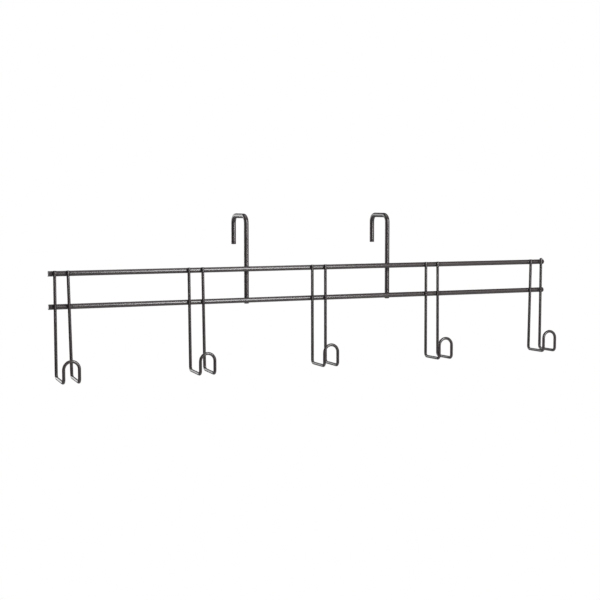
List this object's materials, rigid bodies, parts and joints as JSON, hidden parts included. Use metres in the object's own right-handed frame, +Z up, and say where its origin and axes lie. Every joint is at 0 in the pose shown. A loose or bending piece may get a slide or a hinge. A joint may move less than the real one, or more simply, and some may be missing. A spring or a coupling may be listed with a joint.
{
  "type": "wire hook rack",
  "caption": "Over-the-edge rack of round wire: two straight rails carry a row of double hooks bent from one wire each, and hang by hooked rods behind.",
  "frame": {"origin": "the middle of the front top edge of the board that the rack hangs on: in the rack's middle along its length, on the back of the hangers' front legs and the underside of their tops", "axes": "+X along the rails, from the left end to the right as seen from the room; -Y towards the room and the hooks; +Z up"},
  "size_m": [0.696, 0.0935, 0.1946],
  "materials": {
    "powder_coat": "satin dark bronze-grey powder coat on steel wire"
  },
  "bodies": {
    "root": {"upper_rail": "powder_coat", "lower_rail": "powder_coat", "left_hanger": "powder_coat", "right_hanger": "powder_coat", "hook_1": "powder_coat", "hook_2": "powder_coat", "hook_3": "powder_coat", "hook_4": "powder_coat", "hook_5": "powder_coat"}
  },
  "joints": []
}
